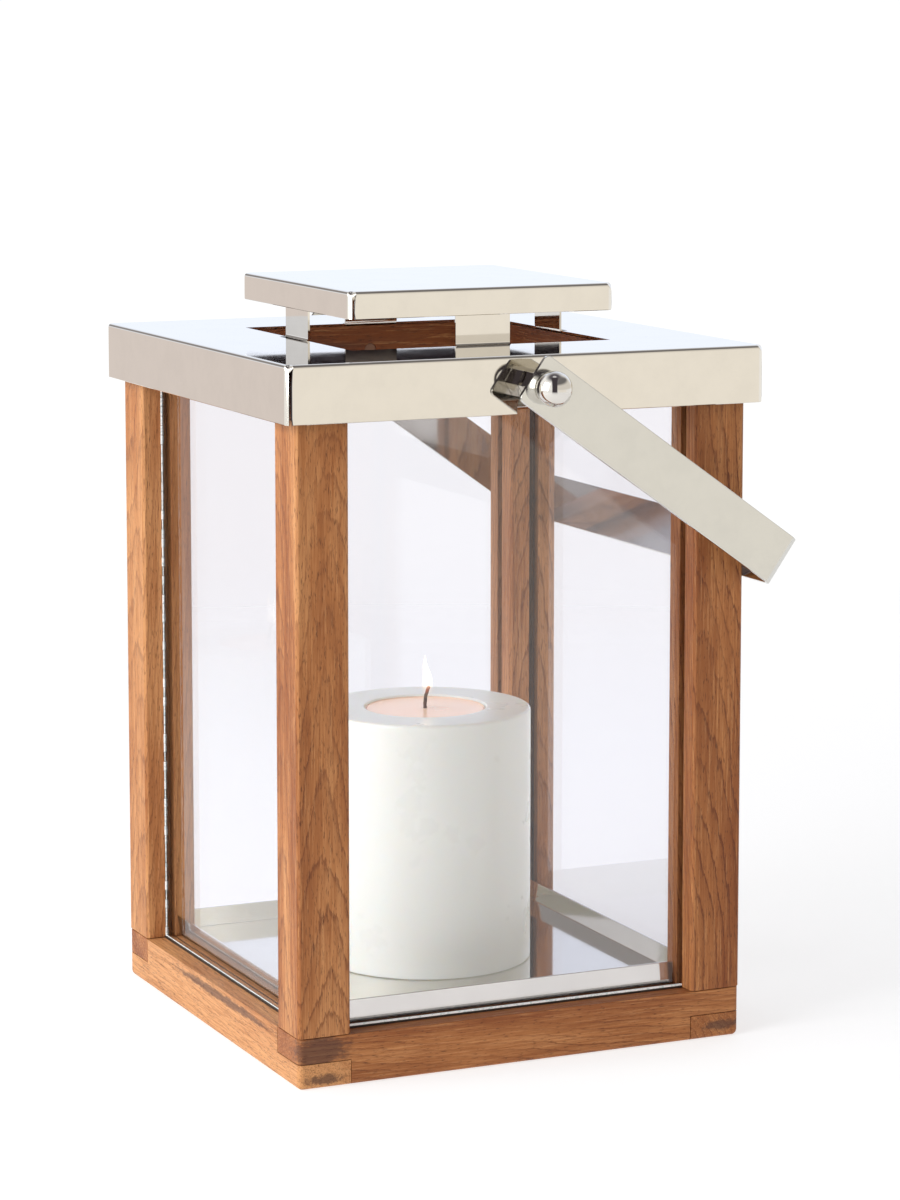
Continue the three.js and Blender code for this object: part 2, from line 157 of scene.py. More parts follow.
def as_object(name, bm, materials=()):
    mesh = bpy.data.meshes.new(name)
    bm.to_mesh(mesh)
    bm.free()
    for material in materials:
        mesh.materials.append(material)
    made = bpy.data.objects.new(name, mesh)
    bpy.context.scene.collection.objects.link(made)
    return made


def apply_modifiers(made):
    evaluated = made.evaluated_get(bpy.context.evaluated_depsgraph_get())
    mesh = bpy.data.meshes.new_from_object(evaluated)
    made.modifiers.clear()
    made.data = mesh
    return made


def combine(made, others, operation):
    """Cuts the other meshes out of this object, or joins them to it."""
    cutters = []
    for bm in others:
        cutter = as_object("cutter", bm)
        modifier = made.modifiers.new("combine", "BOOLEAN")
        modifier.operation = operation
        modifier.solver = "EXACT"
        modifier.object = cutter
        cutters.append(cutter)
    apply_modifiers(made)
    for cutter in cutters:
        bpy.data.objects.remove(cutter)
    return made


def shade(made, sharp_angle=SHARP_ANGLE):
    """Smooth shading that keeps flat faces flat and edges over the angle sharp."""
    for polygon in made.data.polygons:
        polygon.use_smooth = True
    made.data.set_sharp_from_angle(angle=math.radians(sharp_angle))
    modifier = made.modifiers.new("flat faces stay flat", "WEIGHTED_NORMAL")
    modifier.keep_sharp = True
    modifier.weight = 100
    return made


def crease_level_faces(made):
    """Marks the rims of level faces sharp, so that a wide polished top stays an even mirror."""
    level = math.cos(LEVEL_TOLERANCE)
    bm = bmesh.new()
    bm.from_mesh(made.data)
    for edge in bm.edges:
        kinds = {abs(face.normal.z) > level for face in edge.link_faces}
        if len(kinds) == 2:
            edge.smooth = False
    bm.to_mesh(made.data)
    bm.free()


def finish_piece(made, node, material=None, sharp_angle=SHARP_ANGLE):
    """The object stands for a CAD node: it rides on the node's body and takes the node's finish."""
    shade(made, sharp_angle)
    if material:
        made.data.materials.clear()
        made.data.materials.append(material)
    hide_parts(node)
    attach(made, node_body[node])
    return made


def softened(node, name, radius, segments=3, wear=None):
    """A copy of a CAD node with its flat faces made whole and its edges rounded.

    `wear` gives each edge's share of the radius. Without it, every sharp edge takes the whole radius.
    """
    bm = bmesh.new()
    bm.from_mesh(frame["nodes"][node].data)
    bmesh.ops.remove_doubles(bm, verts=bm.verts, dist=CAD_WELD)
    bmesh.ops.dissolve_limit(bm, angle_limit=LEVEL_TOLERANCE, verts=bm.verts, edges=bm.edges)
    if wear:
        shares = bm.edges.layers.float.new("bevel_weight_edge")
        for edge in bm.edges:
            edge[shares] = wear(*[vertex.co for vertex in edge.verts])
    made = as_object(name, bm)
    bevel = made.modifiers.new("edges", "BEVEL")
    bevel.width = radius
    bevel.segments = segments
    bevel.limit_method = "WEIGHT" if wear else "ANGLE"
    bevel.angle_limit = math.radians(EASED_ANGLE)
    return apply_modifiers(made)


# ---- nodes ----

MIX_COLOURS = (6, 7)  # the Mix node's colour inputs
MIX_RESULT = 2  # and its colour output


def add_node(tree, kind, inputs=None, **settings):
    """A shader node. Inputs are values, or sockets to link. A colour is red, green and blue."""
    made = tree.nodes.new(kind)
    for name, value in settings.items():
        setattr(made, name, value)
    for key, value in (inputs or {}).items():
        socket = made.inputs[key]
        if isinstance(value, bpy.types.NodeSocket):
            tree.links.new(value, socket)
        elif socket.type == "RGBA":
            socket.default_value = (*value, 1)
        else:
            socket.default_value = value
    return made


def object_place(tree):
    """Where a point lies in its object's own space."""
    return add_node(tree, "ShaderNodeTexCoord").outputs["Object"]


def calculate(tree, operation, a, b=0.0):
    return add_node(tree, "ShaderNodeMath", {0: a, 1: b}, operation=operation).outputs[0]


def add(tree, a, b):
    return calculate(tree, "ADD", a, b)


def multiply(tree, a, b):
    return calculate(tree, "MULTIPLY", a, b)


def vector_maths(tree, operation, a, b=(0, 0, 0)):
    """Maths with vectors. A length or a dot product is a number, and the rest are vectors."""
    made = add_node(tree, "ShaderNodeVectorMath", {0: a, 1: b}, operation=operation)
    return made.outputs["Value" if operation in ("LENGTH", "DOT_PRODUCT") else "Vector"]


def noise(tree, vector, scale, detail=3.0, roughness=0.5):
    inputs = {"Vector": vector, "Scale": scale, "Detail": detail, "Roughness": roughness}
    return add_node(tree, "ShaderNodeTexNoise", inputs).outputs[0]


def stretch(tree, vector, scale):
    return add_node(tree, "ShaderNodeMapping", {"Vector": vector, "Scale": scale}).outputs[0]


def remap(tree, value, low, high, new_low=0.0, new_high=1.0):
    """An eased step from one value to another as the input goes from low to high."""
    inputs = {"Value": value, "From Min": low, "From Max": high, "To Min": new_low, "To Max": new_high}
    return add_node(tree, "ShaderNodeMapRange", inputs, interpolation_type="SMOOTHSTEP").outputs[0]


def blend_colours(tree, factor, a, b):
    inputs = {0: factor, MIX_COLOURS[0]: a, MIX_COLOURS[1]: b}
    return add_node(tree, "ShaderNodeMix", inputs, data_type="RGBA").outputs[MIX_RESULT]


def mix_shaders(tree, factor, a, b):
    return add_node(tree, "ShaderNodeMixShader", {0: factor, 1: a, 2: b}).outputs[0]


def ramp(tree, factor, stops):
    """A colour ramp through (position, colour) stops."""
    made = add_node(tree, "ShaderNodeValToRGB", {0: factor})
    elements = made.color_ramp.elements
    while len(elements) < len(stops):
        elements.new(0.5)
    for element, (position, colour) in zip(elements, stops):
        element.position = position
        element.color = (*colour, 1)
    return made.outputs[0]


def bump(tree, height, strength, distance, normal=None):
    inputs = {"Height": height, "Strength": strength, "Distance": distance}
    if normal is not None:
        inputs["Normal"] = normal
    return add_node(tree, "ShaderNodeBump", inputs).outputs[0]


def new_material(name):
    material = bpy.data.materials.new(name)
    material.use_nodes = True
    material.node_tree.nodes.clear()
    return material, material.node_tree


def surface(tree, shader):
    add_node(tree, "ShaderNodeOutputMaterial", {"Surface": shader})


def principled(tree, **inputs):
    """A Principled shader as the material's surface. Input names are written with underscores."""
    named = {key.replace("_", " "): value for key, value in inputs.items()}
    surface(tree, add_node(tree, "ShaderNodeBsdfPrincipled", named).outputs[0])


def dimmed(colour, share):
    return tuple(value * share for value in colour)


def srgb(red, green, blue):
    """A colour given as it looks on screen, 0 to 255, as the linear values that shaders use."""
    linear = []
    for value in (red, green, blue):
        share = value / 255
        linear.append(share / 12.92 if share <= 0.04045 else ((share + 0.055) / 1.055) ** 2.4)
    return tuple(linear)


# ---- teak ----

GRAIN_TURNS = {"X": (0, -QUARTER, 0), "Y": (QUARTER, 0, 0), "Z": (0, 0, 0)}
RING = 2.8 * MM  # width of one growth ring
TRUNK_TAPER = 0.09  # how fast the rings widen along the grain, which draws them out into arches
PALE = srgb(208, 150, 98)
TAN = srgb(176, 114, 66)
BROWN = srgb(138, 78, 41)
RUST = srgb(100, 52, 31)
UMBER = srgb(86, 58, 48)
PORE = srgb(74, 42, 28)
WANDER = 20 * MM  # how far the rings swing along a board
RIPPLE = 2.6 * MM  # and how far they tremble
WORN_CORNER = 3.0 * MM  # rounding of the base's corners
EASED_EDGE = 0.3 * MM  # rounding of the other boards' edges


def grain_noise(tree, place, along, scale, detail, roughness=0.5):
    """Noise drawn out along the grain. `along` is how fine it is lengthways, as a share of crossways."""
    return noise(tree, stretch(tree, place, (1, 1, along)), scale, detail, roughness)


def growth_rings(tree, log, own, pith):
    """The late wood's share: a line at the end of each ring, and a faint rise towards it."""
    long_wave = grain_noise(tree, own, 0.25, 24, 2)
    tremble = grain_noise(tree, own, 0.12, 420, 4, 0.7)
    x, y, along = add_node(tree, "ShaderNodeSeparateXYZ", {0: log}).outputs
    from_x = calculate(tree, "SUBTRACT", x, pith[0] * MM)
    from_y = calculate(tree, "SUBTRACT", y, pith[1] * MM)
    square = add(tree, calculate(tree, "POWER", from_x, 2), calculate(tree, "POWER", from_y, 2))
    radius = calculate(tree, "SQRT", square)
    radius = add(tree, radius, multiply(tree, along, TRUNK_TAPER))
    radius = add(tree, radius, multiply(tree, long_wave, WANDER))
    radius = add(tree, radius, multiply(tree, tremble, RIPPLE))
    ring = calculate(tree, "FRACT", calculate(tree, "DIVIDE", radius, RING))
    line = multiply(tree, remap(tree, ring, 0.74, 0.94), remap(tree, ring, 1.0, 0.96))
    rise = multiply(tree, remap(tree, ring, 0.1, 0.95), 0.3)
    return calculate(tree, "MAXIMUM", line, rise)


def dark_patches(tree, place, own, stain, marks):
    """The share of dark, knotty wood: patches where the board's noise has them, and its own marks."""
    patch = grain_noise(tree, own, 0.22, 26, 4, 0.65)
    dark = remap(tree, patch, 0.66 - stain, 0.8 - stain, 0, 0.7)
    edge = grain_noise(tree, own, 0.4, 420, 4, 0.75)
    for centre, size in marks:
        away = vector_maths(tree, "SUBTRACT", place, Vector(centre) * MM)
        spread = stretch(tree, away, [1 / (length * MM) for length in size])
        ragged = add(tree, vector_maths(tree, "LENGTH", spread), multiply(tree, edge, 1.5))
        dark = calculate(tree, "MAXIMUM", dark, remap(tree, ragged, 1.75, 1.25, 0, 0.75))
    return dark


def teak(node, grain, pith, rings, tone, stain, marks):
    """Teak for one board: growth rings round a pith that lies beside the board, pores and long streaks.

    The pith is two distances from the board's middle, across the grain. `rings` is how strongly the rings
    show, `tone` is how much darker the board is, and `stain` adds dark patches. A mark is the place and the
    size of one more dark patch. Distances are in millimetres.
    """
    material, tree = new_material(f"teak_{node}")
    low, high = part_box(node)
    place = object_place(tree)
    centred = vector_maths(tree, "SUBTRACT", place, (low + high) / 2)
    turn = {"Vector": centred, "Rotation": GRAIN_TURNS[grain]}
    log = add_node(tree, "ShaderNodeMapping", turn).outputs[0]
    draws = random.Random(node)
    shift = Vector([draws.uniform(-3, 3) for _ in range(3)])
    own = vector_maths(tree, "ADD", log, shift)

    late = growth_rings(tree, log, own, pith)
    broad = grain_noise(tree, own, 0.1, 60, 4, 0.6)
    streaks = grain_noise(tree, own, 0.03, 1100, 4, 0.75)
    pores = remap(tree, grain_noise(tree, own, 0.14, 1900, 2, 0.6), 0.56, 0.7)
    presence = grain_noise(tree, own, 0.3, 38, 3)
    ring_depth = remap(tree, presence, 0.3, 0.6, 0.3 * rings, 0.85 * rings)

    shades = [(0.3, PALE), (0.5, TAN), (0.72, BROWN), (0.95, RUST)]
    colour = ramp(tree, add(tree, broad, tone), shades)
    colour = blend_colours(tree, multiply(tree, late, ring_depth), colour, RUST)
    colour = blend_colours(tree, remap(tree, streaks, 0.46, 0.66, 0, 0.5), colour, BROWN)
    colour = blend_colours(tree, remap(tree, streaks, 0.48, 0.32, 0, 0.5), colour, PALE)
    colour = blend_colours(tree, dark_patches(tree, place, own, stain, marks), colour, UMBER)
    colour = blend_colours(tree, multiply(tree, pores, 0.6), colour, PORE)
    relief = calculate(tree, "SUBTRACT", multiply(tree, streaks, 0.5), pores)
    normal = bump(tree, relief, 0.4, 0.2 * MM)
    roughness = remap(tree, streaks, 0.3, 0.8, 0.42, 0.6)
    principled(tree, Base_Color=colour, Roughness=roughness, Normal=normal, Specular_IOR_Level=0.22)
    return material


def base_wear(start, end):
    """The base is worn round at its four corners, and less along its bottom edges."""
    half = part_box("base_rail_front")[1].x
    near = 0.01 * MM
    outside = [abs(abs(start[axis]) - half) < near and abs(abs(end[axis]) - half) < near for axis in (0, 1)]
    if all(outside):
        return 1.0
    if any(outside) and max(start.z, end.z) < near:
        return 0.5
    return EASED_EDGE / WORN_CORNER


def build_wood():
    """Each board keeps its CAD shape, with its edges eased."""
    looks = {  # grain, pith, rings, tone and stain, as teak takes them
        "base_rail_front": ("X", (30, -18), 0.8, 0.06, 0.02),
        "base_rail_right": ("Y", (-26, 20), 1.0, 0.0, 0.04),
        "base_rail_back": ("X", (24, 26), 1.0, 0.02, 0.0),
        "base_rail_left": ("Y", (30, -34), 0.4, -0.22, 0.0),
        "post_front_left": ("Z", (2, 6), 0.8, 0.02, 0.04),
        "post_front_right": ("Z", (-18, 12), 1.1, 0.05, 0.06),
        "post_back_right": ("Z", (4, -34), 0.8, -0.12, 0.0),
        "post_back_left": ("Z", (20, -4), 0.6, -0.08, 0.0),
        "top_rail_front": ("X", (28, 26), 1.0, 0.3, 0.05),
        "top_rail_right": ("Y", (-30, 22), 1.0, 0.26, 0.05),
        "top_rail_back": ("X", (-34, 18), 1.0, 0.28, 0.1),
        "top_rail_left": ("Y", (30, 24), 1.0, 0.3, 0.05),
    }
    marks = {
        "base_rail_front": [((-100, -110, 17), (16, 14, 9))],
        "base_rail_right": [((101, -110, 6), (12, 12, 3))],
        "base_rail_left": [((-110, -15, 19), (12, 75, 2.6)), ((-98, -111, 4), (11, 8, 3))],
    }
    for node, board_looks in looks.items():
        if node.startswith("base"):
            board = softened(node, f"{node}_board", WORN_CORNER, 4, base_wear)
        else:
            board = softened(node, f"{node}_board", EASED_EDGE)
        finish_piece(board, node, teak(node, *board_looks, marks.get(node, [])))


# ---- steel ----

def steel(name, tint, roughness, waviness, brushing):
    """Polished stainless steel, a little wavy, with faint polishing lines."""
    material, tree = new_material(name)
    place = object_place(tree)
    wave = noise(tree, place, 18, 2)
    lines = noise(tree, stretch(tree, place, (0.03, 0.03, 1)), 2600, 2, 0.6)
    cloud = noise(tree, place, 60, 4, 0.6)
    normal = bump(tree, wave, waviness, 1 * MM)
    normal = bump(tree, lines, brushing, 0.02 * MM, normal)
    shine = remap(tree, cloud, 0.3, 0.75, roughness * 0.8, roughness * 1.35)
    colour = blend_colours(tree, remap(tree, cloud, 0.35, 0.7), tint, dimmed(tint, 0.965))
    principled(tree, Base_Color=colour, Metallic=1.0, Roughness=shine, Normal=normal)
    return material


def matte_metal_and_painted_shade(name, tint, roughness):
    """Unpolished metal, dull and cloudy. Made near black, it is also painted shade inside the covers."""
    material, tree = new_material(name)
    cloud = noise(tree, object_place(tree), 90, 4, 0.6)
    colour = blend_colours(tree, cloud, tint, dimmed(tint, 0.75))
    shine = remap(tree, cloud, 0.3, 0.7, roughness * 0.85, roughness * 1.2)
    principled(tree, Base_Color=colour, Metallic=0.8, Roughness=shine)
    return material


def square_ring(half, shape, steps, seam):
    """A rounded square of points. At each corner two neighbours leave room for a seam between two skirts.

    `shape` gives the inset and the height at each angle round a corner.
    """
    corner_centre = half - CORNER_RADIUS
    gap = seam / CORNER_RADIUS
    angles = [SEAM_START * i / steps for i in range(steps + 1)]
    angles += [SEAM_START + gap + (QUARTER - SEAM_START - gap) * i / steps for i in range(steps + 1)]
    points = []
    for corner in range(4):
        turn = Matrix.Rotation(corner * QUARTER, 3, "Z")
        for angle in angles:
            inset, height = shape(angle)
            radius = CORNER_RADIUS - inset
            x = corner_centre + radius * math.cos(angle)
            y = corner_centre + radius * math.sin(angle)
            points.append(turn @ Vector((x, y, height)))
    return points


def sheet_between(outer, inner, steps, closed_from):
    """The sheet between two sets of square rings. Below level `closed_from` the corners are slit open."""
    bm = bmesh.new()
    outer_rows = [[bm.verts.new(point) for point in row] for row in outer]
    inner_rows = [[bm.verts.new(point) for point in row] for row in inner]
    columns = len(outer_rows[0])
    per_corner = 2 * (steps + 1)

    def strip(lower, upper, open_seam, material):
        for i in range(columns):
            if open_seam and i % per_corner == steps:
                continue
            j = (i + 1) % columns
            bm.faces.new((lower[i], lower[j], upper[j], upper[i])).material_index = material

    for level in range(len(outer_rows) - 1):
        strip(outer_rows[level], outer_rows[level + 1], level < closed_from, 0)
        strip(inner_rows[level + 1], inner_rows[level], level < closed_from, 1)
    strip(inner_rows[0], outer_rows[0], True, 0)
    for first in range(steps, columns, per_corner):
        for column in (first, first + 1):
            for level in range(closed_from):
                bm.faces.new((outer_rows[level][column], outer_rows[level + 1][column],
                              inner_rows[level + 1][column], inner_rows[level][column]))
        bm.faces.new((outer_rows[closed_from][first], outer_rows[closed_from][first + 1],
                      inner_rows[closed_from][first + 1], inner_rows[closed_from][first]))
    bm.faces.new(outer_rows[-1])
    bm.faces.new(inner_rows[-1]).material_index = 1
    bmesh.ops.remove_doubles(bm, verts=bm.verts, dist=WELD)
    bmesh.ops.recalc_face_normals(bm, faces=bm.faces)
    return bm


def folded_cover(name, side, bottom, top, materials):
    """An upside-down box of sheet, whose four skirts meet in open seams below the folded edge.

    The second material is for its inside, where it is painted shade.
    """
    corner_steps = 6
    fold_steps = 8
    half = side / 2
    lip = SHEET * 0.25
    outer, inner = [], []

    def add_level(outer_inset, inner_inset, height, seam):
        for rows, inset in ((outer, outer_inset), (inner, inner_inset)):
            rows.append(square_ring(half, lambda angle: (inset, height), corner_steps, seam))

    add_level(lip, SHEET - lip, bottom, SEAM_FOOT)
    add_level(0, SHEET, bottom + lip, SEAM_FOOT)
    add_level(0, SHEET, bottom + 2 * SEAM_FOOT, SEAM)
    middle = top - FOLD - 4 * SEAM_TOP
    if middle > bottom + 3 * SEAM_FOOT:
        add_level(0, SHEET, middle, SEAM)
    add_level(0, SHEET, top - FOLD - 1.2 * SEAM_TOP, (SEAM + SEAM_TOP) / 2)
    closed_from = len(outer)
    for i in range(fold_steps + 1):
        bend = QUARTER * i / fold_steps
        for rows, depth in ((outer, 0), (inner, SHEET)):
            def folded(angle):
                fold = FOLD + (TIP_FOLD - FOLD) * math.sin(2 * angle) ** 2
                radius = fold - depth
                return depth + radius * (1 - math.cos(bend)), top - fold + radius * math.sin(bend)

            rows.append(square_ring(half, folded, corner_steps, SEAM_TOP))
    return as_object(name, sheet_between(outer, inner, corner_steps, closed_from), materials)


def lid_leg(lid_top, hole, width, height):
    """One tab, bent up from the edge of the lid's hole. It stands at the front."""
    outside = hole / 2
    foot = 2 * MM
    bend_steps = 8
    centre = (-outside - LEG_BEND, lid_top + LEG_BEND)
    outline = [(centre[0] - foot, lid_top - SHEET), (centre[0] - foot, lid_top)]
    outline += arc(centre, LEG_BEND, -QUARTER, 0, bend_steps)
    outline += [(-outside, height), (-outside + SHEET, height)]
    outline += arc(centre, LEG_BEND + SHEET, 0, -QUARTER, bend_steps)
    bm = prism(outline, width)
    bm.transform(Matrix.Rotation(QUARTER, 4, "Z"))
    return bm


def turned(bm, quarter):
    copy = bm.copy()
    copy.transform(Matrix.Rotation(quarter * QUARTER, 4, "Z"))
    return copy


def build_lid(polished, inside):
    """The lid has a square hole with four legs bent up from its edges, and a slot in its front and back."""
    low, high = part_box("lid_cover")
    side = high.x - low.x
    lid_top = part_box("top_rail_front")[1].z + REST_GAP + SHEET
    half_hole = abs(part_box("top_rail_front")[1].y)
    hole = 2 * half_hole
    leg_width = 27 * MM
    half_leg = leg_width / 2
    notch = half_hole + LEG_BEND
    over = lid_top + FOLD
    under = low.z - FOLD
    pivot = joint_place("handle_swing")
    slot_radius = 7.5 * MM
    slot = [(-slot_radius, under), (slot_radius, under)]
    slot += arc((0, pivot.z), slot_radius, 0, math.pi, 24)
    cuts = [
        block((-half_hole, -half_hole, low.z), (half_hole, half_hole, over)),
        block((-notch, -half_leg, low.z), (notch, half_leg, over)),
        block((-half_leg, -notch, low.z), (half_leg, notch, over)),
        prism(slot, 2 * side),
    ]
    lid = folded_cover("lid_cover_sheet", side, low.z, lid_top, (polished, inside))
    combine(lid, cuts, "DIFFERENCE")
    leg = lid_leg(lid_top, hole, leg_width, high.z)
    combine(lid, [turned(leg, quarter) for quarter in range(4)], "UNION")
    crease_level_faces(finish_piece(lid, "lid_cover"))


def build_cap(polished, inside):
    low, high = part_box("chimney_cap")
    cap = folded_cover("chimney_cap_sheet", high.x - low.x, low.z, high.z, (polished, inside))
    crease_level_faces(finish_piece(cap, "chimney_cap"))


def joint_place(name):
    joint = next(joint for joint in frame["joints"] if joint["name"] == name)
    return Vector(joint["pos_m"])


def build_tray(material):
    """The tray's rim leans a little: out at its two sides, in at its front and back."""
    slope = 0.09
    tray = softened("tray", "tray_sheet", 0.35 * MM)
    low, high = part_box("tray")
    for vertex in tray.data.vertices:
        lean = slope * (vertex.co.z - low.z) / high.x
        vertex.co.x *= 1 + lean
        vertex.co.y *= 1 - lean
    finish_piece(tray, "tray", material)


# ---- handle ----

def strap_section(centre, across, half_width, thickness):
    """A flat bar's rounded outline. `across` points out of its broad face, and its width runs along Z."""
    edge = 0.45 * MM
    steps = 3
    points = []
    for quarter, (side, rise) in enumerate(((1, 1), (-1, 1), (-1, -1), (1, -1))):
        for i in range(steps + 1):
            angle = quarter * QUARTER + QUARTER * i / steps
            out = side * (thickness / 2 - edge) + edge * math.cos(angle)
            up = rise * (half_width - edge) + edge * math.sin(angle)
            points.append(centre + across * out + Vector((0, 0, up)))
    return points


def build_handle(material):
    """One bent strip: an arm, a fold, the crossbar, a fold and the other arm.

    It is drawn along +X from the pivot and then turned to its place.
    """
    pivot = joint_place("handle_swing")
    corners = [vertex.co for vertex in frame["nodes"]["handle"].data.vertices]
    low = min(corners, key=lambda corner: corner.z)
    right = max(corners, key=lambda corner: corner.x)
    width = math.hypot(right.x - low.x, right.z - low.z)
    turn = math.atan2(right.x - low.x, right.z - low.z)
    reach = math.hypot((right.x + low.x) / 2 - pivot.x, (right.z + low.z) / 2 - pivot.z)
    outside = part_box("handle")[1].y
    free_end = 9 * MM
    end_round = 2.5 * MM
    end_inset = 0.02 * MM
    end_blunt = 0.3 * MM
    fold = 3.5 * MM
    middle = STRAP_THICKNESS / 2
    line = outside - middle
    bend_centre = reach - fold
    narrow = width / 2 - end_round
    end_steps = 8
    straight_steps = 5
    fold_steps = 8

    outwards = Vector((0, -1, 0))
    stations = [(Vector((-free_end + end_inset, -line, 0)), outwards, narrow + end_blunt)]
    for i in range(1, end_steps + 1):
        angle = i / end_steps * QUARTER
        along = end_round * (1 - math.cos(angle))
        centre = Vector((-free_end + along, -line, 0))
        stations.append((centre, outwards, narrow + end_round * math.sin(angle)))
    for i in range(1, straight_steps + 1):
        x = -free_end + end_round + (bend_centre + free_end - end_round) * i / straight_steps
        stations.append((Vector((x, -line, 0)), outwards, width / 2))
    for i in range(1, fold_steps + 1):
        angle = -QUARTER + QUARTER * i / fold_steps
        across = Vector((math.cos(angle), math.sin(angle), 0))
        centre = Vector((bend_centre, -outside + fold, 0)) + across * (fold - middle)
        stations.append((centre, across, width / 2))
    for centre, across, half_width in stations[::-1]:
        flipped_centre = Vector((centre.x, -centre.y, centre.z))
        flipped_across = Vector((across.x, -across.y, 0))
        stations.append((flipped_centre, flipped_across, half_width))
    bm = sweep([strap_section(*station, STRAP_THICKNESS) for station in stations])
    bm.transform(Matrix.Translation(pivot) @ Matrix.Rotation(turn, 4, "Y"))
    finish_piece(as_object("handle_strap", bm), "handle", material, STRAP_SHARP_ANGLE)


def build_pivots(polished, dull):
    parts = (("pivot_plate", 0.4, polished), ("pivot_spacer", 0.35, polished), ("pivot_stud", 0.4, dull))
    for side in ("front", "back"):
        for part, rounding, metal in parts:
            node = f"{part}_{side}"
            finish_piece(softened(node, f"{node}_bar", rounding * MM), node, metal)
        build_ball_knob(side, polished)


def build_ball_knob(side, metal):
    """A ball with a flat face against the handle's arm."""
    node = f"ball_knob_{side}"
    low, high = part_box(node)
    radius = (high.x - low.x) / 2
    centre = high.y - low.y - radius
    start = -math.asin(centre / radius)
    flat = radius * math.cos(start)
    edge = 0.35 * MM
    steps = 28
    profile = [(0, 0), (flat - edge, 0)]
    profile += arc((0, centre), radius, start, QUARTER, steps)[1:-1]
    profile.append((0, centre + radius))
    bm = lathe(profile, 64)
    facing = 1 if side == "front" else -1
    face = high.y if side == "front" else low.y
    turn = Matrix.Rotation(facing * QUARTER, 4, "X")
    bm.transform(Matrix.Translation((0, face, (low.z + high.z) / 2)) @ turn)
    finish_piece(as_object(f"{node}_ball", bm), node, metal)


# ---- glass ----

def pane_glass():
    """Clear float glass: it lets the light of lamps through, mirrors a little, and tints what is behind."""
    refraction = 1.5
    material, tree = new_material("pane_glass")
    place = object_place(tree)
    draw = bump(tree, noise(tree, place, 9, 1), 0.03, 1 * MM)
    leaving = add_node(tree, "ShaderNodeNewGeometry").outputs["Backfacing"]
    index = remap(tree, leaving, 0, 1, refraction, 1 / refraction)
    facing = add_node(tree, "ShaderNodeFresnel", {"IOR": index, "Normal": draw}).outputs[0]
    smear = remap(tree, noise(tree, place, 35, 4, 0.6), 0.4, 0.8, 0.0, 0.03)
    tint = blend_colours(tree, noise(tree, place, 14, 2), (0.98, 0.978, 0.99), (0.97, 0.97, 0.985))
    through = add_node(tree, "ShaderNodeBsdfTransparent", {"Color": tint}).outputs[0]
    mirror = {"Color": (1, 1, 1), "Roughness": smear, "Normal": draw}
    gloss = add_node(tree, "ShaderNodeBsdfAnisotropic", mirror).outputs[0]
    surface(tree, mix_shaders(tree, facing, through, gloss))
    return material


def build_glass(margin_shade):
    """The panes. Their margins in the posts' grooves take a near-black material, painted shade of the grooves seen
    through the glass.
    """
    material = pane_glass()
    hidden = 3.5 * MM
    groove = abs(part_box("post_front_left")[1].x) + hidden
    for side in SIDES:
        node = f"glass_{side}"
        pane = softened(node, f"{node}_pane", 0.4 * MM, 2)
        along = 0 if side in ("front", "back") else 1
        bm = bmesh.new()
        bm.from_mesh(pane.data)
        for edge in (-groove, groove):
            place = [0, 0, 0]
            place[along] = edge
            facing = [0, 0, 0]
            facing[along] = 1
            everything = bm.verts[:] + bm.edges[:] + bm.faces[:]
            bmesh.ops.bisect_plane(bm, geom=everything, plane_co=place, plane_no=facing)
        for face in bm.faces:
            face.material_index = int(abs(face.calc_center_median()[along]) > groove)
        bm.to_mesh(pane.data)
        bm.free()
        pane.data.materials.append(material)
        pane.data.materials.append(margin_shade)
        finish_piece(pane, node)


def gather(pieces):
    """One mesh of front pieces, each copied to its own list of sides, counted in quarter turns."""
    mesh = bpy.data.meshes.new("gathered")
    bm = bmesh.new()
    for piece, quarters in pieces:
        for quarter in quarters:
            copy = turned(piece, quarter)
            copy.to_mesh(mesh)
            bm.from_mesh(mesh)
            copy.free()
        piece.free()
    bpy.data.meshes.remove(mesh)
    return bm


def painted_groove_shade():
    material, tree = new_material("painted_groove_shade")
    grain = noise(tree, object_place(tree), 400, 3)
    # Near black: painted shade of the gaps in the posts' grooves.
    colour = blend_colours(tree, grain, (0.014, 0.009, 0.007), (0.05, 0.03, 0.02))
    principled(tree, Base_Color=colour, Roughness=remap(tree, grain, 0.3, 0.7, 0.4, 0.6))
    return material


def sealant_and_painted_glint():
    material, tree = new_material("sealant_and_painted_glint")
    specks = remap(tree, noise(tree, object_place(tree), 900, 3, 0.7), 0.46, 0.6)
    colour = blend_colours(tree, specks, (0.95, 0.95, 0.93), (0.45, 0.58, 0.58))
    # The pale specks and the faint glow paint the glint of the panes' edges onto the beads of sealant.
    principled(tree, Base_Color=colour, Roughness=remap(tree, specks, 0, 1, 0.12, 0.3),
               Emission_Color=(1, 1, 1), Emission_Strength=0.2)
    return material


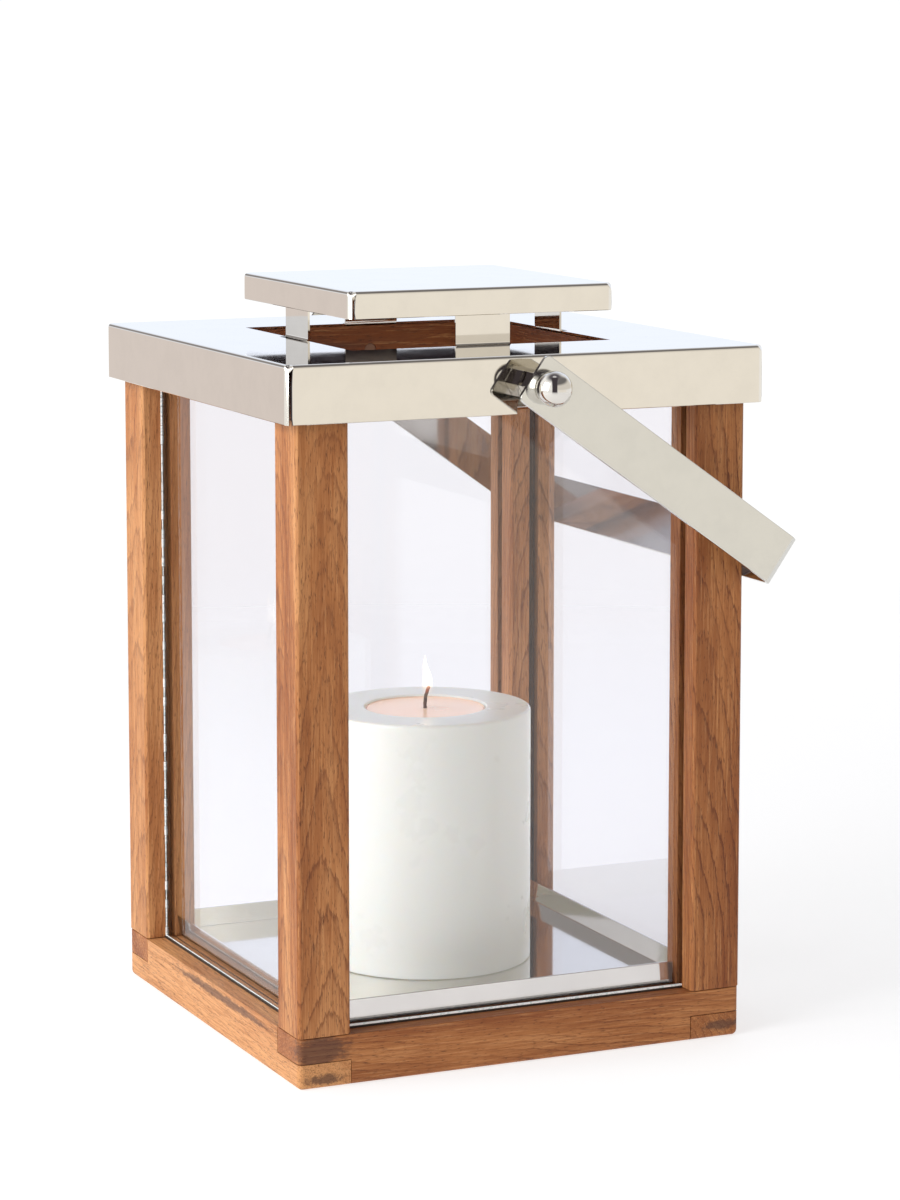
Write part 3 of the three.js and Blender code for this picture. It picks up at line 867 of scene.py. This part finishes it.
def build_shade_strips_and_glint_beads(groove_shade):
    """Dark strips under both faces of each pane, painted shade of the gaps in the grooves, and beads of sealant
    along them whose pale colour and faint glow paint the glint of the panes' edges.

    A rough bead with the same painted glint also runs up the left pane's back edge.
    """
    pane_low, pane_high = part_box("glass_front")
    outer_face, inner_face = pane_low.y, pane_high.y
    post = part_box("post_front_left")[1].x
    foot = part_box("base_rail_front")[1].z
    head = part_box("top_rail_front")[0].z
    strip = 1.0 * MM
    inner_strip = 0.4 * MM
    ledge = foot + strip
    outer_shade_strip = block((post, outer_face - strip, foot), (-post, outer_face, ledge))
    inner_shade_strip = block((post, inner_face, foot), (-post, inner_face + inner_strip, foot + inner_strip))
    # The dark strips are painted shade of the gaps in front of and behind each pane's foot.
    dark = [(outer_shade_strip, SIDE_TURNS), (inner_shade_strip, SIDE_TURNS)]
    front_and_back, right_and_left = SIDE_TURNS[0::2], SIDE_TURNS[1::2]
    left = SIDE_TURNS[3:]
    # Beads whose pale colour and glow are a painted glint of the panes' edges.
    clear = []
    for size, sides in ((0.8 * MM, front_and_back), (0.3 * MM, right_and_left)):
        bead = block((post, outer_face - size, ledge), (-post, outer_face, ledge + size))
        clear.append((bead, sides))
    draws = random.Random("bead")
    lumps = 60
    spacing = (head - ledge) / lumps
    lump_length = 0.95 * spacing
    for i in range(lumps):
        bottom = ledge + i * spacing
        size = draws.uniform(0.25, 0.7) * MM
        lump = block((post, outer_face - size, bottom), (post + size, outer_face, bottom + lump_length))
        clear.append((lump, left))
    strips_and_beads = (("pane_groove_shade_strips", dark, groove_shade), ("sealant_and_glint_beads", clear, sealant_and_painted_glint()))
    for name, pieces, material in strips_and_beads:
        made = shade(as_object(name, gather(pieces), (material,)))
        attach(made, "frame")


# ---- candle ----

def wax_material(name, tint, depth, roughness, weight, glow):
    """Wax that light passes into by about `depth`. Its glow is painted light: the flame's light on the wax, and a
    lift for its shaded side.
    """
    material, tree = new_material(name)
    place = object_place(tree)
    cloud = noise(tree, place, 30, 4, 0.6)
    colour = blend_colours(tree, cloud, tint, dimmed(tint, 0.96))
    normal = bump(tree, noise(tree, place, 120, 3, 0.5), 0.06, 0.3 * MM)
    shine = remap(tree, cloud, 0.3, 0.7, roughness * 0.85, roughness * 1.2)
    principled(tree, Base_Color=colour, Roughness=shine, Normal=normal, Subsurface_Weight=weight,
               Subsurface_Radius=(1.0, 0.75, 0.55), Subsurface_Scale=depth, Specular_IOR_Level=0.4,
               Emission_Color=tint, Emission_Strength=glow)
    return material


def build_candle():
    """The thick wax shell, with a recess in its top for the tealight."""
    low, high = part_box("candle_shell")
    radius = high.x
    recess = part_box("tealight_cup")[1].x + 0.4 * MM
    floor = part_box("tealight_cup")[0].z - REST_GAP
    edge = 1.6 * MM
    foot = 0.6 * MM
    lip = 0.8 * MM
    wall_steps = 8
    profile = [(0, low.z), (radius - foot, low.z)]
    profile += arc((radius - foot, low.z + foot), foot, -QUARTER, 0, 4)[1:]
    profile += [(radius, low.z + (high.z - low.z) * i / wall_steps) for i in range(1, wall_steps)]
    profile += arc((radius - edge, high.z - edge), edge, 0, QUARTER, 8)
    profile += arc((recess + lip, high.z - lip), lip, QUARTER, 2 * QUARTER, 6)
    profile += [(recess, floor), (0, floor)]
    shell = as_object("candle_shell_wax", lathe(profile, ROUND_STEPS))
    white = srgb(231, 233, 224)
    # The glow is painted light that brightens the shell's shaded side.
    wax = wax_material("white_wax", white, depth=5 * MM, roughness=0.3, weight=0.7, glow=0.19)
    finish_piece(shell, "candle_shell", wax)


def cup_plastic():
    """Clear plastic, seen with the warm wax behind it."""
    material, tree = new_material("clear_cup")
    place = object_place(tree)
    colour = blend_colours(tree, noise(tree, place, 90, 3), srgb(250, 226, 206), srgb(246, 214, 190))
    shine = remap(tree, noise(tree, place, 200, 2), 0.3, 0.7, 0.1, 0.2)
    principled(tree, Base_Color=colour, Roughness=shine, Subsurface_Weight=0.3,
               Subsurface_Radius=(1.0, 0.6, 0.4), Subsurface_Scale=1 * MM)
    return material


def stamped_tin():
    material, tree = new_material("stamped_tin")
    place = object_place(tree)
    shine = remap(tree, noise(tree, place, 300, 3), 0.3, 0.7, 0.3, 0.5)
    colour = blend_colours(tree, noise(tree, place, 150, 2), (0.6, 0.6, 0.62), (0.5, 0.5, 0.52))
    principled(tree, Base_Color=colour, Metallic=1.0, Roughness=shine)
    return material


def build_tealight():
    build_cup()
    build_tealight_wax()
    finish_piece(softened("wick_tab", "wick_tab_plate", 0.1 * MM, 2), "wick_tab", stamped_tin())
    build_wick()
    build_flame()


def build_cup():
    low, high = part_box("tealight_cup")
    radius = high.x
    wall = 0.6 * MM
    bevel = 1 * MM
    rim = wall / 2
    profile = [(0, low.z), (radius - bevel, low.z), (radius, low.z + bevel), (radius, high.z - 0.2 * MM)]
    profile += arc((radius - rim, high.z - rim), rim, 0, math.pi, 6)
    profile += [(radius - wall, low.z + wall), (0, low.z + wall)]
    cup = as_object("tealight_cup_shell", lathe(profile, ROUND_STEPS))
    finish_piece(cup, "tealight_cup", cup_plastic())


def build_tealight_wax():
    """The wax sinks a little between the cup's wall and the wick, and leaves room for the wick's tab."""
    low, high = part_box("tealight_wax")
    radius = high.x
    meniscus = 0.35 * MM
    wall_climb = 1.2 * MM  # how far from the wall and from the wick the wax climbs
    wick_climb = 1.0 * MM
    bore = 1.15 * MM
    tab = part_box("wick_tab")
    tab_room = tab[1].x + REST_GAP
    ceiling = tab[1].z + REST_GAP
    steps = 9
    profile = [(tab_room, low.z), (radius, low.z), (radius, high.z)]
    for i in range(1, steps):
        distance = radius - i / steps * (radius - bore)
        dip = meniscus * (1 - math.exp(-(radius - distance) / wall_climb))
        dip -= meniscus * math.exp(-(distance - bore) / wick_climb)
        profile.append((distance, high.z - max(dip, 0)))
    profile += [(bore, high.z), (bore, ceiling), (tab_room, ceiling), (tab_room, low.z)]
    wax = as_object("tealight_wax_fill", lathe(profile, ROUND_STEPS))
    warm = srgb(244, 210, 182)
    # The glow is painted light: the flame's light falling on the wax.
    material = wax_material("warm_wax", warm, depth=3 * MM, roughness=0.25, weight=0.5, glow=0.3)
    finish_piece(wax, "tealight_wax", material)


def wick_measures():
    """The wick's radius, its tip's lean to the right, the wax's top, and the wick's rise above that."""
    low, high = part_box("wick")
    wax_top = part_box("tealight_wax")[1].z
    radius = -low.x
    return radius, high.x - radius, wax_top, high.z - wax_top


def braided_cotton():
    """Waxed brown low down, black where it is burnt, and glowing at the tip."""
    wax_top, rise = wick_measures()[2:]
    material, tree = new_material("braided_cotton")
    place = object_place(tree)
    height = add_node(tree, "ShaderNodeSeparateXYZ", {0: place}).outputs[2]
    burnt = remap(tree, height, wax_top + 0.2 * rise, wax_top + 0.8 * rise)
    fibres = noise(tree, place, 2500, 3)
    waxed, scorched = srgb(92, 56, 38), srgb(48, 32, 26)
    charred, ember = srgb(30, 22, 20), srgb(150, 50, 20)
    colour = ramp(tree, burnt, [(0.0, waxed), (0.4, scorched), (0.85, charred), (1.0, ember)])
    colour = blend_colours(tree, multiply(tree, fibres, 0.5), colour, srgb(60, 34, 24))
    principled(tree, Base_Color=colour, Roughness=0.9, Normal=bump(tree, fibres, 0.6, 0.2 * MM))
    return material


def build_wick():
    """The braided wick, which bends towards its tip."""
    low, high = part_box("wick")
    radius, lean, wax_top, rise = wick_measures()
    steps = 26
    loop_steps = 12
    strands = 3
    strand_depth = 0.12
    twist = 14 * math.pi
    tip_inset = 0.3 * radius
    body = 0.9  # share of the radius that leaves room for the strands
    narrowing = 0.9  # share of the rise where the tip begins
    stations = []
    for i in range(steps + 1):
        share = i / steps
        z = low.z + (high.z - tip_inset - low.z) * share
        above = max(0.0, (z - wax_top) / rise)
        centre = Vector((lean * above ** 3, 0, z))
        tilt = math.atan(3 * lean * above ** 2 / rise)
        across = Vector((math.cos(tilt), 0, -math.sin(tilt)))
        thickness = radius * (body - 2 * max(0.0, above - narrowing))
        loop = []
        for j in range(loop_steps):
            angle = 2 * math.pi * j / loop_steps
            size = thickness * (1 + strand_depth * math.cos(strands * angle + twist * share))
            loop.append(centre + across * (size * math.cos(angle)) + Vector((0, size * math.sin(angle), 0)))
        stations.append(loop)
    finish_piece(as_object("wick_braid", sweep(stations)), "wick", braided_cotton())


def flame_glow(base, height):
    """Light that is faint and orange at the flame's base and clear at its outline."""
    material, tree = new_material("flame_glow")
    z = add_node(tree, "ShaderNodeSeparateXYZ", {0: object_place(tree)}).outputs[2]
    share = remap(tree, z, base, base + height)
    orange, yellow = (1.0, 0.55, 0.25), (1.0, 0.85, 0.6)
    cream, gold = (1.0, 0.94, 0.82), (1.0, 0.8, 0.5)
    colour = ramp(tree, share, [(0.0, orange), (0.35, yellow), (0.75, cream), (1.0, gold)])
    glow = add_node(tree, "ShaderNodeEmission", {"Color": colour, "Strength": 3.0}).outputs[0]
    clear = add_node(tree, "ShaderNodeBsdfTransparent").outputs[0]
    edge = add_node(tree, "ShaderNodeLayerWeight", {"Blend": 0.35}).outputs["Facing"]
    body = multiply(tree, calculate(tree, "SUBTRACT", 1.0, edge), remap(tree, share, 0.1, 0.5, 0.03, 1))
    surface(tree, mix_shaders(tree, body, clear, glow))
    return material


def build_flame():
    """A drop of light round the wick's upper half, widest low down and drawn out to a point.

    It bends a little to the side that the wick leans to.
    """
    _, lean, wax_top, rise = wick_measures()
    height = 21 * MM
    radius = 2.7 * MM
    base = wax_top + 0.42 * rise
    steps = 28
    profile = [(0, base)]
    for i in range(1, steps):
        share = i / steps
        swell = math.sin(math.pi * share ** 0.62) ** 0.9 * (1 - 0.35 * share)
        profile.append((radius * swell, base + height * share))
    profile.append((0, base + height))
    bm = lathe(profile, 24)
    for vertex in bm.verts:
        share = (vertex.co.z - base) / height
        vertex.co.x += lean * 0.55 * math.sin(math.pi * min(1, share * 1.3))
    flame = as_object("flame", bm)
    shade(flame)
    flame.data.materials.append(flame_glow(base, height))
    flame.visible_shadow = False
    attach(flame, "tealight")


# ---- studio ----

def build_floor():
    """A pale table top that fades out into the white surroundings."""
    bm = bmesh.new()
    bmesh.ops.create_grid(bm, x_segments=8, y_segments=8, size=2.0)
    floor = as_object("floor", bm)
    material, tree = new_material("pale_floor")
    distance = vector_maths(tree, "LENGTH", object_place(tree))
    paper = add_node(tree, "ShaderNodeBsdfDiffuse", {"Color": (0.5, 0.5, 0.5)}).outputs[0]
    glow = add_node(tree, "ShaderNodeEmission", {"Color": (1, 1, 1), "Strength": 0.66}).outputs[0]
    white = add_node(tree, "ShaderNodeAddShader", {0: paper, 1: glow}).outputs[0]
    clear = add_node(tree, "ShaderNodeBsdfTransparent").outputs[0]
    fade = remap(tree, distance, 0.5, 1.7)
    surface(tree, mix_shaders(tree, fade, white, clear))
    floor.data.materials.append(material)


def build_surroundings():
    """A white room: bright walls, a dark ceiling, and a dim stretch where the camera stands.

    The steel mirrors it, so each wall has its own colour.
    """
    world = bpy.data.worlds.new("studio")
    bpy.context.scene.world = world
    world.use_nodes = True
    tree = world.node_tree
    tree.nodes.clear()
    direction = add_node(tree, "ShaderNodeTexCoord").outputs["Generated"]
    height = add_node(tree, "ShaderNodeSeparateXYZ", {0: direction}).outputs[2]

    def towards(aim, start, end):
        """A soft round patch of the room. It begins and is full at these cosines from its middle."""
        dot = vector_maths(tree, "DOT_PRODUCT", direction, Vector(aim).normalized())
        return remap(tree, dot, start, end)

    def paint(colour, patch, paint_colour):
        return blend_colours(tree, patch, colour, paint_colour)

    white = (1.2, 1.2, 1.2)
    ceiling = (0.14, 0.13, 0.15)
    blue = (0.97, 1.04, 1.19)
    beige = (0.84, 0.8, 0.74)
    upper = ramp(tree, height, [(0.0, white), (0.72, white), (0.93, ceiling)])
    back_wall = ramp(tree, height, [(0.0, blue), (0.6, blue), (0.93, ceiling)])
    right_wall = ramp(tree, height, [(0.0, beige), (0.4, beige), (0.6, (0.2, 0.19, 0.19))])
    upper = paint(upper, towards((0.35, 0.9, 0.2), 0.5, 0.85), back_wall)
    upper = paint(upper, towards((0.7, -0.7, 0.2), 0.3, 0.7), right_wall)
    upper = paint(upper, towards((-0.3, 0.9, 0.4), 0.93, 0.99), (0.3, 0.28, 0.28))
    zenith = remap(tree, height, 0.982, 0.996)
    upper = paint(upper, zenith, (0.75, 0.75, 0.77))

    left_wall = multiply(tree, towards((-0.42, 0.9, -0.1), 0.95, 0.985), remap(tree, height, -0.25, -0.2))
    front_wall = multiply(tree, towards((0.42, -0.9, -0.1), 0.8, 0.95), remap(tree, height, -0.3, -0.2))
    lower = blend_colours(tree, left_wall, (1.05, 1.05, 1.05), (0.81, 0.74, 0.72))
    lower = paint(lower, front_wall, (1.02, 0.98, 0.91))

    colour = blend_colours(tree, remap(tree, height, -0.05, 0.05), lower, upper)
    beside = calculate(tree, "ABSOLUTE", vector_maths(tree, "DOT_PRODUCT", direction, (0.91, -0.414, 0)))
    in_front = towards((-0.414, -0.91, 0), 0.02, 0.2)
    gap = multiply(tree, remap(tree, beside, 0.34, 0.22), in_front)
    colour = paint(colour, gap, (0.07, 0.06, 0.07))
    shader = add_node(tree, "ShaderNodeBackground", {"Color": colour, "Strength": 1.0}).outputs[0]
    add_node(tree, "ShaderNodeOutputWorld", {"Surface": shader})


def area_light(name, place, aim, width, height, power, colour):
    data = bpy.data.lights.new(name, "AREA")
    data.shape = "RECTANGLE"
    data.size = width
    data.size_y = height
    data.energy = power
    data.color = colour
    lamp = bpy.data.objects.new(name, data)
    bpy.context.scene.collection.objects.link(lamp)
    lamp.location = place
    lamp.rotation_mode = "QUATERNION"
    lamp.rotation_quaternion = (Vector(aim) - Vector(place)).to_track_quat("-Z", "Y")
    lamp.visible_camera = False


def build_lights():
    middle = (cad_low + cad_high) / 2
    window = Vector((-1.5, -0.3, 0.75))
    daylight = (0.97, 0.98, 1.0)
    area_light("window_left", window, middle, width=1.1, height=1.3, power=21, colour=daylight)


def build_camera():
    """The camera, given by the point it looks at on the lantern's middle plane, its turn and its tilt."""
    height = cad_high.z
    yaw = math.radians(24.43)
    pitch = math.radians(7.37)
    aim = Vector((0, -0.0822 * height, 0.7356 * height))
    distance = 4.938  # in lantern heights
    level = math.cos(pitch)
    forward = Vector((math.sin(yaw) * level, math.cos(yaw) * level, -math.sin(pitch)))
    data = bpy.data.cameras.new("camera")
    data.sensor_width = 36
    data.lens = 111.3
    data.shift_y = -0.1
    camera = bpy.data.objects.new("camera", data)
    bpy.context.scene.collection.objects.link(camera)
    camera.location = aim - forward * distance * height
    camera.rotation_mode = "QUATERNION"
    camera.rotation_quaternion = forward.to_track_quat("-Z", "Y")
    bpy.context.scene.camera = camera
    bpy.context.scene.view_settings.view_transform = "Standard"


build_wood()
groove_shade = painted_groove_shade()
build_glass(groove_shade)
build_shade_strips_and_glint_beads(groove_shade)
sheet_steel = steel("sheet_steel", (0.78, 0.74, 0.67), roughness=0.045, waviness=0.03, brushing=0.02)
# The strap's tint is darker than the sheet's: painted shade for the darker reflections that the strap's slight bow
# gives.
strap_steel = steel("strap_steel", (0.68, 0.67, 0.63), roughness=0.1, waviness=0.05, brushing=0.1)
turned_steel = steel("turned_steel", (0.72, 0.69, 0.64), roughness=0.05, waviness=0.0, brushing=0.03)
tray_steel = steel("tray_steel", (0.75, 0.72, 0.66), roughness=0.07, waviness=0.03, brushing=0.05)
# Near black: painted shade inside the lid and the cap, and in the slits at their corners.
painted_shade_inside = matte_metal_and_painted_shade("painted_shade_inside_sheet", (0.11, 0.09, 0.11), roughness=0.4)
tarnished = matte_metal_and_painted_shade("tarnished_stud", (0.36, 0.2, 0.13), roughness=0.45)
build_tray(tray_steel)
build_lid(sheet_steel, painted_shade_inside)
build_cap(sheet_steel, painted_shade_inside)
build_handle(strap_steel)
build_pivots(turned_steel, tarnished)
build_candle()
build_tealight()
build_floor()
build_surroundings()
build_lights()
build_camera()
